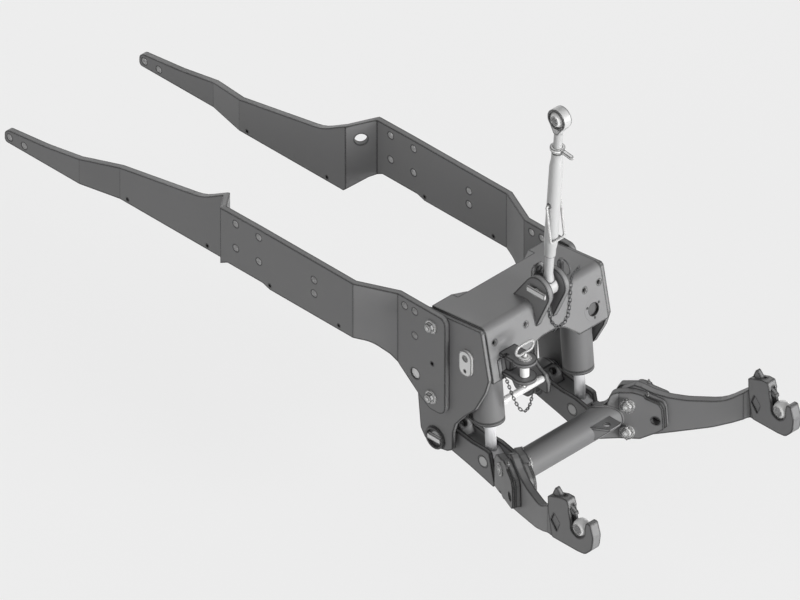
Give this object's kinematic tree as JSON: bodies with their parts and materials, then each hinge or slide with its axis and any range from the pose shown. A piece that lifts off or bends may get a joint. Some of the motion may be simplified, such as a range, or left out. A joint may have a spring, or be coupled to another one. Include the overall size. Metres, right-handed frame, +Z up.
{
  "type": "front three-point linkage",
  "caption": "Front three-point linkage on two long mounting rails, with lift cylinders, folding arms with latch hooks, turnbuckle top link and tow jaw.",
  "frame": {"origin": "middle of the lower link pivot axis, on the machine's middle plane", "axes": "+X forward to the hooks, +Y to the left, +Z up"},
  "size_m": [2.7052, 0.915, 1.3176],
  "materials": {
    "dark_paint": "satin",
    "zinc": "satin",
    "chrome": "polished"
  },
  "bodies": {
    "frame": {"rail_right": "dark_paint", "rail_left": "dark_paint", "rail_bolts": "zinc", "side_plate_right": "dark_paint", "side_plate_left": "dark_paint", "inner_rib_right": "dark_paint", "inner_rib_left": "dark_paint", "beam_cover": "dark_paint", "rear_web": "dark_paint", "clevis_cheek_right": "dark_paint", "clevis_cheek_left": "dark_paint", "clevis_pin": "zinc", "clevis_linch_pin": "zinc", "tow_jaw": "dark_paint", "tie_rod": "zinc", "pivot_pins": "zinc", "pivot_keepers": "zinc", "cylinder_top_pin_right": "zinc", "cylinder_top_pin_left": "zinc"},
    "lift_frame": {"link_outer_plate_right": "dark_paint", "link_outer_plate_left": "dark_paint", "link_inner_plate_right": "dark_paint", "link_inner_plate_left": "dark_paint", "pivot_tube_right": "dark_paint", "pivot_tube_left": "dark_paint", "link_bridges": "dark_paint", "cross_tube": "dark_paint", "rod_eye_pins": "zinc", "fold_cheek_inner_right": "dark_paint", "fold_cheek_inner_left": "dark_paint", "fold_cheek_outer_right": "dark_paint", "fold_cheek_outer_left": "dark_paint", "bracket_back_right": "dark_paint", "bracket_back_left": "dark_paint", "fold_pins": "zinc", "lock_pins": "zinc", "bracket_linch_pins": "zinc"},
    "cylinder_right": {"cylinder_barrel_right": "dark_paint", "gland_cap_right": "dark_paint"},
    "rod_right": {"piston_rod_right": "chrome"},
    "arm_right": {"fold_arm_right": "dark_paint", "hook_right": "dark_paint"},
    "latch_right": {"hook_latch_right": "dark_paint"},
    "ball_right": {"hook_ball_right": "zinc"},
    "cylinder_left": {"cylinder_barrel_left": "dark_paint", "gland_cap_left": "dark_paint"},
    "rod_left": {"piston_rod_left": "chrome"},
    "arm_left": {"fold_arm_left": "dark_paint", "hook_left": "dark_paint"},
    "latch_left": {"hook_latch_left": "dark_paint"},
    "ball_left": {"hook_ball_left": "zinc"},
    "top_link_lower": {"lower_screw": "zinc"},
    "turnbuckle": {"turnbuckle_tube": "zinc"},
    "bail": {"bail_handle": "zinc"},
    "lock_nut_body": {"lock_nut": "zinc"},
    "top_link_upper": {"upper_screw": "zinc"},
    "top_ball": {"upper_ball": "zinc"},
    "tow_pin_body": {"tow_pin": "zinc", "tow_linch_pin": "zinc"}
  },
  "joints": [
    {"name": "lift", "type": "hinge", "parent": "frame", "child": "lift_frame", "pos_m": [0, 0, 0], "axis": [0, -1, 0], "range_deg": [-14, 18]},
    {"name": "cylinder_swing_right", "type": "hinge", "parent": "frame", "child": "cylinder_right", "pos_m": [0.136, -0.1935, 0.368], "axis": [0, -1, 0], "range_deg": [-1.2, 1.5]},
    {"name": "rod_slide_right", "type": "slide", "parent": "cylinder_right", "child": "rod_right", "axis": [0.0896, 0, -0.996], "range_m": [-0.056, 0.044]},
    {"name": "arm_fold_right", "type": "hinge", "parent": "lift_frame", "child": "arm_right", "pos_m": [0.32513, -0.25803, 0.049], "axis": [-0.454, -0.891, 0], "range_deg": [0, 65]},
    {"name": "hook_latch_right", "type": "hinge", "parent": "arm_right", "child": "latch_right", "pos_m": [0.703, -0.435, 0.212], "axis": [0, 1, 0], "range_deg": [0, 28], "stiffness_Nm_per_rad": 1.2, "springref_deg": -20.05},
    {"name": "hook_ball_right", "type": "hinge", "parent": "arm_right", "child": "ball_right", "pos_m": [0.795, -0.435, 0.154], "axis": [0, 1, 0], "continuous": true},
    {"name": "cylinder_swing_left", "type": "hinge", "parent": "frame", "child": "cylinder_left", "pos_m": [0.136, 0.1935, 0.368], "axis": [0, -1, 0], "range_deg": [-1.2, 1.5]},
    {"name": "rod_slide_left", "type": "slide", "parent": "cylinder_left", "child": "rod_left", "axis": [0.0896, 0, -0.996], "range_m": [-0.056, 0.044]},
    {"name": "arm_fold_left", "type": "hinge", "parent": "lift_frame", "child": "arm_left", "pos_m": [0.32513, 0.25803, 0.049], "axis": [0.454, -0.891, 0], "range_deg": [0, 65]},
    {"name": "hook_latch_left", "type": "hinge", "parent": "arm_left", "child": "latch_left", "pos_m": [0.703, 0.435, 0.212], "axis": [0, 1, 0], "range_deg": [0, 28], "stiffness_Nm_per_rad": 1.2, "springref_deg": -20.05},
    {"name": "hook_ball_left", "type": "hinge", "parent": "arm_left", "child": "ball_left", "pos_m": [0.795, 0.435, 0.154], "axis": [0, 1, 0], "continuous": true},
    {"name": "top_link_swing", "type": "hinge", "parent": "frame", "child": "top_link_lower", "pos_m": [0.216, 0, 0.542], "axis": [0, 1, 0], "range_deg": [-12, 92]},
    {"name": "turnbuckle_spin", "type": "hinge", "parent": "top_link_lower", "child": "turnbuckle", "pos_m": [0.23823, 0, 0.84118], "axis": [0.0741, 0, 0.9973], "range_deg": [-1500, 1500]},
    {"name": "upper_screw_slide", "type": "slide", "parent": "top_link_lower", "child": "top_link_upper", "axis": [0.0741, 0, 0.9973], "range_m": [-0.033, 0.033]},
    {"name": "lock_nut_turn", "type": "hinge", "parent": "turnbuckle", "child": "lock_nut_body", "pos_m": [0.25528, 0, 1.07054], "axis": [0.0741, 0, 0.9973], "continuous": true},
    {"name": "bail_swing", "type": "hinge", "parent": "turnbuckle", "child": "bail", "pos_m": [0.23979, 0, 0.86212], "axis": [0, -1, 0], "range_deg": [0, 140]},
    {"name": "upper_ball_tilt", "type": "hinge", "parent": "top_link_upper", "child": "top_ball", "pos_m": [0.26402, 0, 1.18822], "axis": [0.0741, 0, 0.9973], "range_deg": [-10, 10]},
    {"name": "tow_pin_turn", "type": "hinge", "parent": "frame", "child": "tow_pin_body", "pos_m": [0.291, -0.175, 0.397], "axis": [0, 0, 1], "range_deg": [-45, 45]}
  ],
  "couplings": [
    {"joint": "cylinder_swing_right", "follows": "lift", "ratio": 0.073},
    {"joint": "rod_slide_right", "follows": "lift", "m_per_rad": -0.1675},
    {"joint": "cylinder_swing_left", "follows": "lift", "ratio": 0.073},
    {"joint": "rod_slide_left", "follows": "lift", "m_per_rad": -0.1675},
    {"joint": "turnbuckle_spin", "follows": "upper_screw_slide", "rad_per_m": 785.4}
  ]
}
